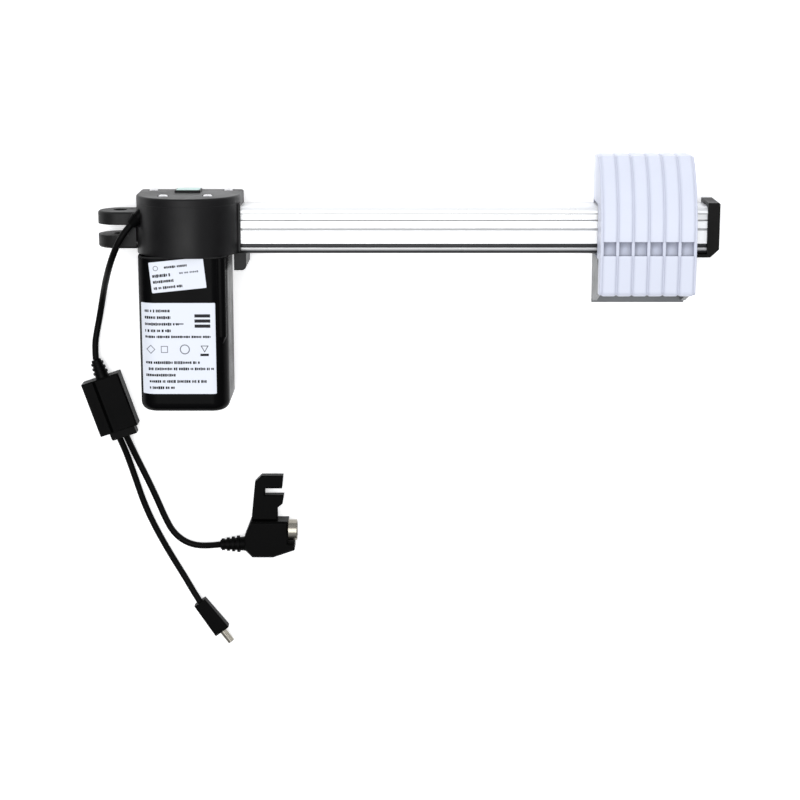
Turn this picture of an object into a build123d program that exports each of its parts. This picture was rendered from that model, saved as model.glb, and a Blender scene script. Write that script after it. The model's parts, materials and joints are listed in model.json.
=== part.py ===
from build123d import *
import math
import os

# Linear actuator with a sliding block, lying on its flat back.
# +X runs along the rail from the rear clevis to the end cap, +Z points away from the back,
# +Y points away from the motor. The origin is at the centre of the base. Millimetres.

os.makedirs("parts", exist_ok=True)

# ---- driving dimensions -------------------------------------------------------------
HALF_LENGTH = 230.0
RAIL_Y = 38.5             # spindle axis
SPINDLE_Z = 22.0
MOTOR_X = -162.8          # motor axis, which runs along Y
MOTOR_Z = 39.0
FIT = 0.05                # radial clearance of a seated part

GEARBOX_X = -161.5        # middle of the gearbox
GEARBOX_R = 38.5          # radius of its round front
GEARBOX_ARC_Z = 31.5      # where its straight sides end
GEARBOX_FLOOR = 22.4      # Y of the joint with the motor case
COVER_JOINT = 59.0
COVER_TOP = 65.0
GEARBOX_WALL = 2.5
GEARBOX_LEFT = GEARBOX_X - GEARBOX_R
GEARBOX_RIGHT = GEARBOX_X + GEARBOX_R
FLOOR_T = 2.4

CASE_X = -164.6           # middle of the motor case
CASE_WIDTH = 65.6
CASE_DEPTH = 66.0
CASE_BOTTOM = -93.0
CASE_TOP = GEARBOX_FLOOR - 1.0
CASE_WALL = 2.5
CASE_FRONT_R = 13.0
CASE_BACK_R = 10.0
CASE_END_R = 7.0
LABEL_T = 0.25

RAIL_W = 35.0             # along Y
RAIL_H = 32.0             # along Z
RAIL_LEFT = -128.0
RAIL_RIGHT = 225.0
CAVITY_W = 27.5
CAVITY_H = 22.0
NUT_SLOT = 10.0
RAIL_LOW = RAIL_Y - RAIL_W / 2
RAIL_HIGH = RAIL_Y + RAIL_W / 2
RAIL_BACK = SPINDLE_Z - RAIL_H / 2
RAIL_FRONT = SPINDLE_Z + RAIL_H / 2

CLEVIS_EAR = 9.5
CLEVIS_GAP = 8.0
CLEVIS_H = 33.0
CLEVIS_PIN_R = 5.1
CLEVIS_W = 2 * CLEVIS_EAR + CLEVIS_GAP
CLEVIS_PIN_X = -HALF_LENGTH + CLEVIS_H / 2

BLOCK_LEFT = 140.0
BLOCK_LENGTH = 70.0
BLOCK_LOW = -7.0
BLOCK_HIGH = 93.0
BLOCK_FRONT = 66.0
FIN_T = 2.3
FIN_COUNT = 7
FIN_INSET = 0.8           # how far the ribs lie below the crowned panels
PANEL_R = 2.0             # round shoulders of the panels
SHEET = 3.2               # bracket steel

WORM_R = 5.0              # pitch radius
WORM_MODULE = 1.0
WHEEL_TEETH = 24
SPINDLE_R = 6.0
CABLE_D = 4.9

BLOCK_MID = BLOCK_LEFT + BLOCK_LENGTH / 2
BLOCK_RIGHT = BLOCK_LEFT + BLOCK_LENGTH


def keep(builder, name):
    """Name a finished piece and write its STEP file."""
    builder.part.label = name
    export_step(builder.part, f"parts/{name}.step")


def along_x(x):
    """Sketch plane at x: its own axes are Y and Z, and it extrudes towards +X."""
    return Plane.YZ.offset(x)


def along_y(y):
    """Sketch plane at y: its own axes are X and Z, and it extrudes towards -Y."""
    return Plane.XZ.offset(-y)


def spindle_point(x):
    """Plane square to the spindle, centred on its axis, extruding towards +X."""
    return Plane(origin=(x, RAIL_Y, SPINDLE_Z), x_dir=(0, 1, 0), z_dir=(1, 0, 0))


def motor_point(y):
    """Plane square to the motor's axis, centred on it, extruding towards +Y."""
    return Plane(origin=(MOTOR_X, y, MOTOR_Z), x_dir=(0, 0, 1), z_dir=(0, 1, 0))


def disc(plane, radius, length, mode=Mode.ADD):
    """A cylinder that stands on a plane."""
    with BuildSketch(plane) as section:
        Circle(radius)
    extrude(section.sketch, amount=length, mode=mode)


def ring(plane, outer, inner, length, mode=Mode.ADD):
    """A tube that stands on a plane."""
    with BuildSketch(plane) as section:
        Circle(outer)
        Circle(inner, mode=Mode.SUBTRACT)
    extrude(section.sketch, amount=length, mode=mode)


def block(low, high, mode=Mode.ADD):
    """A box from its lowest corner to its highest."""
    size = [b - a for a, b in zip(low, high)]
    with Locations(tuple((a + b) / 2 for a, b in zip(low, high))):
        Box(*size, mode=mode)


def dome_outline(inset):
    """The gearbox's section: flat back, straight sides and a round front."""
    radius = GEARBOX_R - inset
    left, right = GEARBOX_X - radius, GEARBOX_X + radius
    with BuildLine() as outline:
        Polyline((right, GEARBOX_ARC_Z), (right, inset), (left, inset), (left, GEARBOX_ARC_Z))
        ThreePointArc((left, GEARBOX_ARC_Z), (GEARBOX_X, GEARBOX_ARC_Z + radius), (right, GEARBOX_ARC_Z))
    make_face(outline.edges())


def case_outline(inset, mode=Mode.ADD):
    """The motor case's section, with larger corners at the front."""
    with BuildSketch(mode=Mode.PRIVATE) as section:
        with Locations((CASE_X, CASE_DEPTH / 2)):
            Rectangle(CASE_WIDTH - 2 * inset, CASE_DEPTH - 2 * inset)
        fillet(section.vertices().group_by(Axis.Y)[-1], CASE_FRONT_R - inset)
        fillet(section.vertices().group_by(Axis.Y)[0], CASE_BACK_R - inset)
    add(section.sketch, mode=mode)


def screw(plane, head_r, head_h, shank_r, length, drive_r=1.6):
    """A screw: its head stands on the plane, and its shank goes back from it."""
    disc(plane, head_r, head_h)
    top = plane.offset(head_h)
    rim = edges(Select.LAST).group_by(Axis(plane.origin, plane.z_dir))[-1]
    fillet(rim, head_h * 0.4)
    disc(plane, shank_r, -length)
    disc(top, drive_r, -head_h * 0.6, mode=Mode.SUBTRACT)


# ---- positions of the screws --------------------------------------------------------
COVER_SCREWS = [(-178.5, 47.0), (-146.0, 46.0), (-190.0, 7.5), (-134.0, 7.5)]
COVER_SCREW_R = 1.75
COVER_HEAD_R = 3.4
CASE_SCREWS = [(-185.4, 51.6), (-141.0, 51.6), (-190.0, 7.5), (-139.2, 7.5)]
CASE_SCREW_R = 1.75
CASE_HEAD_R = 3.2
MOTOR_SCREWS = [(MOTOR_X - 14, MOTOR_Z), (MOTOR_X + 14, MOTOR_Z)]
CLEVIS_SCREWS = [(dy, dz) for dy in (-9.5, 9.5) for dz in (-13, 13)]
CLEVIS_SCREW_R = 1.5
LUG_SCREW_X = -123.8
LUG_SCREWS = [(LUG_SCREW_X, SPINDLE_Z - 9.5), (LUG_SCREW_X, SPINDLE_Z + 9.5)]
CAP_SCREWS = [(RAIL_Y - 3.5, SPINDLE_Z - 13.5), (RAIL_Y - 3.5, SPINDLE_Z + 13.5)]

# ---- gearbox ------------------------------------------------------------------------
REAR_BEARING = (-197.0, 7.0, 4.0, 11.0)     # left face, width, bore radius, outer radius
FRONT_BEARING = (-137.0, 8.0, 5.0, 13.0)
LUG = ((-128.0, 9.4, 2.0), (-119.0, GEARBOX_FLOOR, 42.0))
GLAND_START = (-195.6, 51.4, 46.0)
CABLE_START = (-202.4, 44.0, 46.0)

with BuildPart() as gearbox_housing:
    with BuildSketch(along_y(COVER_JOINT)):
        dome_outline(0)
    extrude(amount=COVER_JOINT - GEARBOX_FLOOR)
    fillet(edges().filter_by(Axis.Y).group_by(Axis.Z)[0], 2.5)
    with BuildSketch(along_y(COVER_JOINT)):
        dome_outline(GEARBOX_WALL)
    extrude(amount=COVER_JOINT - GEARBOX_FLOOR - FLOOR_T, mode=Mode.SUBTRACT)
    block(*LUG)
    fillet(edges().filter_by(Axis.Z).filter_by_position(Axis.Y, 9, 10).group_by(Axis.X)[-1], 3.5)
    # thicker right wall that takes the end of the rail
    block((-129, GEARBOX_FLOOR + 1, 1), (GEARBOX_RIGHT, COVER_JOINT, 42))
    # bearing seats
    ring(spindle_point(REAR_BEARING[0] - 0.5), 13.5, REAR_BEARING[3] + FIT, REAR_BEARING[1] + 0.5)
    ring(spindle_point(FRONT_BEARING[0]), 15.5, FRONT_BEARING[3] + FIT, FRONT_BEARING[1])
    # columns for the cover screws
    for x, z in COVER_SCREWS[:2]:
        with BuildSketch(along_y(COVER_JOINT)):
            with Locations((x, z)):
                Circle(4)
        extrude(amount=COVER_JOINT - GEARBOX_FLOOR - 1)
    for x, z in COVER_SCREWS[2:]:
        block((x - 4, COVER_JOINT - 20, 1), (x + 4, COVER_JOINT, z + 4))
    # openings
    disc(spindle_point(REAR_BEARING[0] - 0.5), REAR_BEARING[3] + FIT, 7.5, mode=Mode.SUBTRACT)
    disc(spindle_point(FRONT_BEARING[0] - 1), FRONT_BEARING[3] + FIT, 9, mode=Mode.SUBTRACT)
    disc(spindle_point(GEARBOX_LEFT - 1), 12, 3.9, mode=Mode.SUBTRACT)
    disc(spindle_point(RAIL_LEFT - 3), 8, 8, mode=Mode.SUBTRACT)
    with BuildSketch(along_x(RAIL_LEFT)):
        with Locations((RAIL_Y, SPINDLE_Z)):
            RectangleRounded(RAIL_W, RAIL_H, 4)
    extrude(amount=12, mode=Mode.SUBTRACT)
    disc(motor_point(GEARBOX_FLOOR - 1), 8.5, FLOOR_T + 2, mode=Mode.SUBTRACT)
    for x, z in CASE_SCREWS + MOTOR_SCREWS:
        with BuildSketch(along_y(GEARBOX_FLOOR + FLOOR_T)):
            with Locations((x, z)):
                Circle(2.0)
        extrude(amount=FLOOR_T + 1, mode=Mode.SUBTRACT)
    for x, z in COVER_SCREWS:
        with BuildSketch(along_y(COVER_JOINT + 1)):
            with Locations((x, z)):
                Circle(COVER_SCREW_R + FIT)
        extrude(amount=18, mode=Mode.SUBTRACT)
    for dy, dz in CLEVIS_SCREWS:
        with BuildSketch(spindle_point(GEARBOX_LEFT - 1)):
            with Locations((dy, dz)):
                Circle(CLEVIS_SCREW_R + FIT)
        extrude(amount=5, mode=Mode.SUBTRACT)
    for x, z in LUG_SCREWS:
        with BuildSketch(along_y(GEARBOX_FLOOR + 1)):
            with Locations((x, z)):
                Circle(2.0 + FIT)
        extrude(amount=20, mode=Mode.SUBTRACT)
        with BuildSketch(along_y(14.0)):
            with Locations((x, z)):
                Circle(3.9)
        extrude(amount=10, mode=Mode.SUBTRACT)
    # room for the heads of the clevis screws
    for dy, dz in CLEVIS_SCREWS:
        with BuildSketch(spindle_point(GEARBOX_LEFT + GEARBOX_WALL)):
            with Locations((dy, dz)):
                Circle(2.55)
        extrude(amount=3, mode=Mode.SUBTRACT)
    # seat of the cable gland
    gland_plane = Plane(
        origin=GLAND_START,
        x_dir=(0, 0, 1),
        z_dir=(CABLE_START[0] - GLAND_START[0], CABLE_START[1] - GLAND_START[1], 0),
    )
    disc(gland_plane.offset(-4), 4.0 + FIT, 10, mode=Mode.SUBTRACT)
    disc(gland_plane.offset(3 - FIT), 5.2 + FIT, 6, mode=Mode.SUBTRACT)
keep(gearbox_housing, "gearbox_housing")

with BuildPart() as gearbox_top_cover:
    with BuildSketch(along_y(COVER_TOP)):
        dome_outline(0)
    extrude(amount=COVER_TOP - COVER_JOINT)
    fillet(edges().filter_by(Axis.Y).group_by(Axis.Z)[0], 2.5)
    fillet(faces().sort_by(Axis.Y)[-1].edges(), 1.5)
    # raised pad for the sticker
    block((-172.5, COVER_TOP - 1, 9), (-153.5, COVER_TOP + 1.6, 25))
    # boss for the shaft's tip bush
    disc(motor_point(COVER_JOINT - 6), 8, 7)
    disc(motor_point(COVER_JOINT - 7), 4.5 + FIT, 7, mode=Mode.SUBTRACT)
    for x, z in COVER_SCREWS:
        with BuildSketch(along_y(COVER_TOP + 1)):
            with Locations((x, z)):
                Circle(COVER_HEAD_R + 0.9)
        extrude(amount=2.6, mode=Mode.SUBTRACT)
        with BuildSketch(along_y(COVER_TOP + 1)):
            with Locations((x, z)):
                Circle(2.0)
        extrude(amount=8, mode=Mode.SUBTRACT)
keep(gearbox_top_cover, "gearbox_top_cover")

with BuildPart() as gearbox_cover_screws:
    for x, z in COVER_SCREWS:
        seat = Plane(origin=(x, COVER_TOP - 1.6, z), x_dir=(1, 0, 0), z_dir=(0, 1, 0))
        screw(seat, COVER_HEAD_R, 2.6, COVER_SCREW_R, 20)
keep(gearbox_cover_screws, "gearbox_cover_screws")

with BuildPart() as top_sticker:
    block((-171.6, COVER_TOP + 1.6, 9.8), (-154.4, COVER_TOP + 1.9, 24.2))
    fillet(edges().filter_by(Axis.Y), 1.5)
keep(top_sticker, "top_sticker")

with BuildPart() as cable_gland:
    disc(gland_plane.offset(-3), 4.0, 6)
    gland_length = math.dist(GLAND_START, CABLE_START)
    with BuildSketch(gland_plane.offset(3)):
        Circle(5.2)
    with BuildSketch(gland_plane.offset(gland_length)):
        Circle(3.6)
    loft()
    disc(gland_plane.offset(-3.5), CABLE_D / 2, 4.5, mode=Mode.SUBTRACT)
keep(cable_gland, "cable_gland")

# ---- rear clevis --------------------------------------------------------------------
with BuildPart() as rear_clevis:
    half = CLEVIS_H / 2
    with BuildSketch(along_y(RAIL_Y + CLEVIS_W / 2)):
        with BuildLine():
            Polyline(
                (CLEVIS_PIN_X, SPINDLE_Z - half),
                (GEARBOX_LEFT, SPINDLE_Z - half),
                (GEARBOX_LEFT, SPINDLE_Z + half),
                (CLEVIS_PIN_X, SPINDLE_Z + half),
            )
            ThreePointArc(
                (CLEVIS_PIN_X, SPINDLE_Z + half),
                (-HALF_LENGTH, SPINDLE_Z),
                (CLEVIS_PIN_X, SPINDLE_Z - half),
            )
        make_face()
    extrude(amount=CLEVIS_W)
    outer_faces = faces().filter_by(Axis.Y)
    rim = outer_faces.edges().filter_by(lambda e: e.center().X < GEARBOX_LEFT - 1)
    fillet(rim, 1.8)
    block(
        (-HALF_LENGTH - 1, RAIL_Y - CLEVIS_GAP / 2, SPINDLE_Z - half - 1),
        (GEARBOX_LEFT - 6, RAIL_Y + CLEVIS_GAP / 2, SPINDLE_Z + half + 1),
        mode=Mode.SUBTRACT,
    )
    with BuildSketch(along_y(RAIL_Y + CLEVIS_W)):
        with Locations((CLEVIS_PIN_X, SPINDLE_Z)):
            Circle(CLEVIS_PIN_R)
    extrude(amount=2 * CLEVIS_W, mode=Mode.SUBTRACT)
    # spigot that carries the rear bearing's thrust
    disc(spindle_point(GEARBOX_LEFT - 1), 12 - FIT, 3.7)
    disc(spindle_point(GEARBOX_LEFT + 0.5), 7, 4, mode=Mode.SUBTRACT)
    for dy, dz in CLEVIS_SCREWS:
        with BuildSketch(spindle_point(GEARBOX_LEFT + 1)):
            with Locations((dy, dz)):
                Circle(CLEVIS_SCREW_R)
        extrude(amount=-10, mode=Mode.SUBTRACT)
keep(rear_clevis, "rear_clevis")

with BuildPart() as clevis_screws:
    for dy, dz in CLEVIS_SCREWS:
        seat = Plane(
            origin=(GEARBOX_LEFT + GEARBOX_WALL, RAIL_Y + dy, SPINDLE_Z + dz),
            x_dir=(0, 1, 0),
            z_dir=(1, 0, 0),
        )
        screw(seat, 2.5, 1.8, CLEVIS_SCREW_R, GEARBOX_WALL + 7, drive_r=1.2)
keep(clevis_screws, "clevis_screws")

# ---- motor case ---------------------------------------------------------------------
RIDGE = (-136.6, 61.2, 4.0)     # X, Z and radius of the screw ridge
RIDGE_LOW = -36.5
BOARD_Y = -80.0

with BuildPart() as motor_case:
    with BuildSketch(along_y(CASE_TOP)):
        case_outline(0)
    extrude(amount=CASE_TOP - CASE_BOTTOM)
    fillet(faces().sort_by(Axis.Y)[0].edges(), CASE_END_R)
    # ridge at the front right corner, with a pointed lower end
    ridge_plane = Plane(origin=(RIDGE[0], CASE_TOP, RIDGE[1]), x_dir=(1, 0, 0), z_dir=(0, -1, 0))
    disc(ridge_plane, RIDGE[2], CASE_TOP - RIDGE_LOW)
    with BuildSketch(ridge_plane.offset(CASE_TOP - RIDGE_LOW)):
        Circle(RIDGE[2])
    with BuildSketch(ridge_plane.offset(CASE_TOP - RIDGE_LOW + 7)):
        Circle(0.6)
    loft()
    with BuildSketch(along_y(CASE_TOP + 1)):
        case_outline(CASE_WALL)
    extrude(amount=CASE_TOP + 1 - CASE_BOTTOM - CASE_END_R, mode=Mode.SUBTRACT)
    block(
        (CASE_X - 26, CASE_BOTTOM + CASE_WALL, 9),
        (CASE_X + 26, CASE_BOTTOM + CASE_END_R + 1, 57),
        mode=Mode.SUBTRACT,
    )
    # screw columns, tied to the side walls
    for x, z in CASE_SCREWS:
        side = -1 if x < CASE_X else 1
        wall_x = CASE_X + side * (CASE_WIDTH / 2 - CASE_WALL / 2)
        with BuildSketch(along_y(CASE_TOP)):
            with Locations((x, z)):
                Circle(3.8)
            with Locations(((x + wall_x) / 2, z)):
                Rectangle(abs(wall_x - x), 3)
        extrude(amount=34)
        with BuildSketch(along_y(CASE_TOP + 1)):
            with Locations((x, z)):
                Circle(CASE_SCREW_R + FIT)
        extrude(amount=26, mode=Mode.SUBTRACT)
    # posts for the control board
    for x in (MOTOR_X - 20, MOTOR_X + 20):
        for z in (20, 46):
            post = Plane(origin=(x, CASE_BOTTOM + 1, z), x_dir=(1, 0, 0), z_dir=(0, 1, 0))
            disc(post, 2.5, BOARD_Y - CASE_BOTTOM - 1)
keep(motor_case, "motor_case")

with BuildPart() as motor_gasket:
    with BuildSketch(along_y(GEARBOX_FLOOR)):
        case_outline(0.2)
        with Locations((CASE_X, CASE_DEPTH / 2)):
            RectangleRounded(
                CASE_WIDTH - 2 * CASE_WALL, CASE_DEPTH - 2 * CASE_WALL, 7, mode=Mode.SUBTRACT
            )
    extrude(amount=1)
keep(motor_gasket, "motor_gasket")

with BuildPart() as motor_case_screws:
    for x, z in CASE_SCREWS:
        seat = Plane(origin=(x, GEARBOX_FLOOR + FLOOR_T, z), x_dir=(1, 0, 0), z_dir=(0, 1, 0))
        screw(seat, CASE_HEAD_R, 2.2, CASE_SCREW_R, 26, drive_r=1.3)
keep(motor_case_screws, "motor_case_screws")


def label_on_case(x, y, width, height, turn):
    """A thin label that follows the front of the case and its rounded corners."""
    with BuildSketch(along_y(CASE_TOP)) as skin:
        case_outline(-LABEL_T)
        case_outline(0, mode=Mode.SUBTRACT)
    extrude(skin.sketch, amount=CASE_TOP - CASE_BOTTOM)
    with BuildSketch(Plane.XY.offset(CASE_DEPTH / 2 + 10)) as cut:
        with Locations(Location((x, y, 0), turn)):
            RectangleRounded(width, height, 0.8)
    extrude(cut.sketch, amount=CASE_DEPTH / 2, mode=Mode.INTERSECT)


RATING_LABEL = (-167.6, -44.9, 54.5, 67.8, 0)    # middle X and Y, width, height, turn
DATE_LABEL = (-167.3, 9.4, 40.0, 22.6, 6)
with BuildPart() as rating_label:
    label_on_case(*RATING_LABEL)
keep(rating_label, "rating_label")

with BuildPart() as date_label:
    label_on_case(*DATE_LABEL)
keep(date_label, "date_label")

# ---- motor --------------------------------------------------------------------------
CAN_R = 21.0
CAN_LOW = -66.0
CAN_HIGH = 14.0
SHAFT_R = 2.5

with BuildPart() as motor_can:
    disc(motor_point(CAN_LOW), CAN_R, CAN_HIGH - CAN_LOW)
    fillet(faces().sort_by(Axis.Y)[0].edges(), 2)
    disc(motor_point(CAN_LOW + 1.6), CAN_R - 1.6, CAN_HIGH - CAN_LOW, mode=Mode.SUBTRACT)
    disc(motor_point(CAN_LOW - 5), 6.5, 6)
    disc(motor_point(CAN_LOW - 6), 4.5, 8, mode=Mode.SUBTRACT)
keep(motor_can, "motor_can")

with BuildPart() as motor_magnets:
    with BuildSketch(motor_point(-56)):
        Circle(CAN_R - 1.6)
        Circle(16.2, mode=Mode.SUBTRACT)
        Rectangle(60, 16, mode=Mode.SUBTRACT)
    extrude(amount=46)
keep(motor_magnets, "motor_magnets")

with BuildPart() as motor_rear_bush:
    ring(motor_point(CAN_LOW - 5), 4.5, SHAFT_R + FIT, 6)
keep(motor_rear_bush, "motor_rear_bush")

with BuildPart() as motor_end_bell:
    disc(motor_point(CAN_HIGH), CAN_R, GEARBOX_FLOOR - CAN_HIGH)
    ring(motor_point(CAN_HIGH - 3), CAN_R - 1.65, CAN_R - 4, 3)
    # brush holders reach into the can
    for side in (-1, 1):
        block(
            (MOTOR_X + min(side * 9, side * 15), CAN_HIGH - 16, MOTOR_Z - 4.2),
            (MOTOR_X + max(side * 9, side * 15), CAN_HIGH, MOTOR_Z + 4.2),
        )
        block(
            (MOTOR_X + min(side * 8, side * 15.5), CAN_HIGH - 13, MOTOR_Z - 2.5),
            (MOTOR_X + max(side * 8, side * 15.5), CAN_HIGH - 7, MOTOR_Z + 2.5),
            mode=Mode.SUBTRACT,
        )
    disc(motor_point(16), 8 + FIT, 8, mode=Mode.SUBTRACT)
    disc(motor_point(CAN_HIGH - 1), 5, 4, mode=Mode.SUBTRACT)
    for x, z in MOTOR_SCREWS:
        with BuildSketch(along_y(GEARBOX_FLOOR + 1)):
            with Locations((x, z)):
                Circle(1.75 + FIT)
        extrude(amount=8, mode=Mode.SUBTRACT)
keep(motor_end_bell, "motor_end_bell")

with BuildPart() as motor_brushes:
    for side in (-1, 1):
        block(
            (MOTOR_X + min(side * 7.1, side * 14), CAN_HIGH - 12.9, MOTOR_Z - 2.4),
            (MOTOR_X + max(side * 7.1, side * 14), CAN_HIGH - 7.1, MOTOR_Z + 2.4),
        )
keep(motor_brushes, "motor_brushes")

with BuildPart() as motor_front_bearing:
    ring(motor_point(16), 8, SHAFT_R + FIT, 5)
keep(motor_front_bearing, "motor_front_bearing")

with BuildPart() as motor_mount_screws:
    for x, z in MOTOR_SCREWS:
        seat = Plane(origin=(x, GEARBOX_FLOOR + FLOOR_T, z), x_dir=(1, 0, 0), z_dir=(0, 1, 0))
        screw(seat, 3.2, 1.8, 1.75, 9, drive_r=1.3)
keep(motor_mount_screws, "motor_mount_screws")

with BuildPart() as shaft_tip_bush:
    ring(motor_point(COVER_JOINT - 6), 4.5, SHAFT_R + FIT, 6)
keep(shaft_tip_bush, "shaft_tip_bush")

with BuildPart() as rotor_shaft:
    disc(motor_point(CAN_LOW - 6.5), SHAFT_R, COVER_JOINT - 1.5 - (CAN_LOW - 6.5))
    chamfer(edges().filter_by(GeomType.CIRCLE), 0.4)
keep(rotor_shaft, "rotor_shaft")

CORE_LOW = -50.0
CORE_LENGTH = 36.0
with BuildPart() as rotor_core:
    with BuildSketch(motor_point(CORE_LOW)):
        Circle(15.4)
        Circle(SHAFT_R, mode=Mode.SUBTRACT)
        with PolarLocations(15.4, 8):
            Rectangle(2, 1.6, mode=Mode.SUBTRACT)
        with PolarLocations(11.2, 8):
            SlotOverall(7.5, 4.5, mode=Mode.SUBTRACT)
    extrude(amount=CORE_LENGTH)
keep(rotor_core, "rotor_core")

with BuildPart() as rotor_windings:
    for low in (CORE_LOW - 6, CORE_LOW + CORE_LENGTH):
        ring(motor_point(low), 13.6, 6, 6)
        fillet(faces().sort_by(Axis.Y)[-1 if low > CORE_LOW else 0].edges(), 1.8)
    with BuildSketch(motor_point(CORE_LOW)):
        with PolarLocations(11.2, 8):
            SlotOverall(7.1, 4.1)
    extrude(amount=CORE_LENGTH)
keep(rotor_windings, "rotor_windings")

with BuildPart() as commutator:
    with BuildSketch(motor_point(-2)):
        Circle(7)
        Circle(SHAFT_R, mode=Mode.SUBTRACT)
        with PolarLocations(7, 8):
            Rectangle(1.6, 0.6, mode=Mode.SUBTRACT)
    extrude(amount=11)
keep(commutator, "commutator")

# ---- worm and wheel -----------------------------------------------------------------
LEAD = math.pi * WORM_MODULE
WORM_LENGTH = 25.0
THREAD_TURNS = 7
ROOT_R = WORM_R - 1.25 * WORM_MODULE

with BuildPart() as worm:
    # the right-hand thread starts at the front, a whole number of turns below the middle,
    # so that a gap between two turns faces the wheel's top tooth
    thread_low = RAIL_Y - LEAD * 3
    with BuildLine():
        path = Helix(
            pitch=LEAD,
            height=LEAD * THREAD_TURNS,
            radius=ROOT_R,
            center=(MOTOR_X, thread_low, MOTOR_Z),
            direction=(0, 1, 0),
        )
    outward = path @ 0 - Vector(MOTOR_X, thread_low, MOTOR_Z)
    with BuildSketch(Plane(origin=path @ 0, x_dir=outward, z_dir=path % 0)):
        with BuildLine():
            Polyline((-0.3, -0.85), (2.2, -0.3), (2.2, 0.3), (-0.3, 0.85), close=True)
        make_face()
    sweep(path=path, is_frenet=True)
    disc(motor_point(RAIL_Y - WORM_LENGTH / 2), ROOT_R, WORM_LENGTH)
    disc(motor_point(RAIL_Y - WORM_LENGTH / 2), SHAFT_R, WORM_LENGTH, mode=Mode.SUBTRACT)
keep(worm, "worm")

WHEEL_T = 10.0
WHEEL_R = WHEEL_TEETH * WORM_MODULE / 2
with BuildPart() as worm_wheel:
    with BuildSketch(spindle_point(MOTOR_X - WHEEL_T / 2)):
        Circle(WHEEL_R - 1.25 * WORM_MODULE)
        with BuildSketch(mode=Mode.PRIVATE) as tooth:
            with BuildLine():
                Polyline((-1.6, -0.85), (2.2, -0.3), (2.2, 0.3), (-1.6, 0.85), close=True)
            make_face()
        with PolarLocations(WHEEL_R - 1.25 * WORM_MODULE, WHEEL_TEETH):
            add(tooth.sketch)
        Circle(5, mode=Mode.SUBTRACT)
    extrude(amount=WHEEL_T)
    ring(spindle_point(MOTOR_X + WHEEL_T / 2), 8, 5, 9)
    pin_x = MOTOR_X + WHEEL_T / 2 + 4.5
    pin_plane = Plane(origin=(pin_x, RAIL_Y, SPINDLE_Z), x_dir=(1, 0, 0), z_dir=(0, -1, 0))
    disc(pin_plane.offset(-10), 1.25, 20, mode=Mode.SUBTRACT)
keep(worm_wheel, "worm_wheel")

with BuildPart() as wheel_pin:
    disc(pin_plane.offset(-7.8), 1.25, 15.6)
keep(wheel_pin, "wheel_pin")

# ---- spindle ------------------------------------------------------------------------
SPINDLE_START = -197.4
SHOULDER_X = -186.0       # where the rear journal ends
THREAD_START = -129.0
SPINDLE_END = RAIL_RIGHT - 9.0
JOURNAL_R = 4.0
HUB_R = 5.0
with BuildPart() as lead_screw:
    disc(spindle_point(SPINDLE_START), JOURNAL_R, SHOULDER_X - SPINDLE_START)
    disc(spindle_point(SHOULDER_X), HUB_R, THREAD_START - SHOULDER_X)
    disc(spindle_point(THREAD_START), SPINDLE_R, SPINDLE_END - THREAD_START)
    disc(spindle_point(SPINDLE_END), JOURNAL_R, 8)
    disc(pin_plane.offset(-10), 1.25, 20, mode=Mode.SUBTRACT)
keep(lead_screw, "lead_screw")

with BuildPart() as spindle_lock_nut:
    with BuildSketch(spindle_point(-190)):
        RegularPolygon(6.5, 6, major_radius=False)
        Circle(4, mode=Mode.SUBTRACT)
    extrude(amount=4)
keep(spindle_lock_nut, "spindle_lock_nut")


def ball_bearing(left, width, bore, outer):
    """A bearing drawn as its two rings and the shield between them."""
    land = (outer - bore) * 0.28
    ring(spindle_point(left), outer, outer - land, width)
    ring(spindle_point(left), bore + land, bore + 0.02, width)
    ring(spindle_point(left + 0.6), outer - land, bore + land, width - 1.2)


with BuildPart() as spindle_rear_bearing:
    ball_bearing(*REAR_BEARING)
keep(spindle_rear_bearing, "spindle_rear_bearing")

with BuildPart() as spindle_front_bearing:
    ball_bearing(*FRONT_BEARING)
keep(spindle_front_bearing, "spindle_front_bearing")

# ---- rail ---------------------------------------------------------------------------
GROOVES = [(-11.3, 2.6), (9.55, 4.7)]       # offset from the rail's middle, width
GROOVE_DEPTH = 2.0
with BuildPart() as rail:
    with BuildSketch(spindle_point(RAIL_LEFT)):
        RectangleRounded(RAIL_W, RAIL_H, 4)
        RectangleRounded(CAVITY_W, CAVITY_H, 1, mode=Mode.SUBTRACT)
        with Locations((-RAIL_W / 2, 0)):
            Rectangle(2 * (RAIL_W - CAVITY_W), NUT_SLOT, mode=Mode.SUBTRACT)
        for side in (-1, 1):
            face = side * RAIL_H / 2
            for offset_y, width in GROOVES:
                with Locations((offset_y, face)):
                    Rectangle(width, 2 * GROOVE_DEPTH, mode=Mode.SUBTRACT)
            with Locations(Location((0.7, face, 0), 45)):
                Rectangle(1.3, 1.3, mode=Mode.SUBTRACT)
    extrude(amount=RAIL_RIGHT - RAIL_LEFT)
    for x, z in LUG_SCREWS:
        with BuildSketch(along_y(RAIL_LOW + 5)):
            with Locations((x, z)):
                Circle(2.0 + FIT)
        extrude(amount=8, mode=Mode.SUBTRACT)
    for y, z in CAP_SCREWS:
        with BuildSketch(along_x(RAIL_RIGHT)):
            with Locations((y, z)):
                Circle(1.4 + FIT)
        extrude(amount=-14, mode=Mode.SUBTRACT)
keep(rail, "rail")

with BuildPart() as rail_clamp_screws:
    for x, z in LUG_SCREWS:
        seat = Plane(origin=(x, 14.0, z), x_dir=(1, 0, 0), z_dir=(0, -1, 0))
        screw(seat, 3.5, 2.4, 2.0, 11)
keep(rail_clamp_screws, "rail_clamp_screws")

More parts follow.
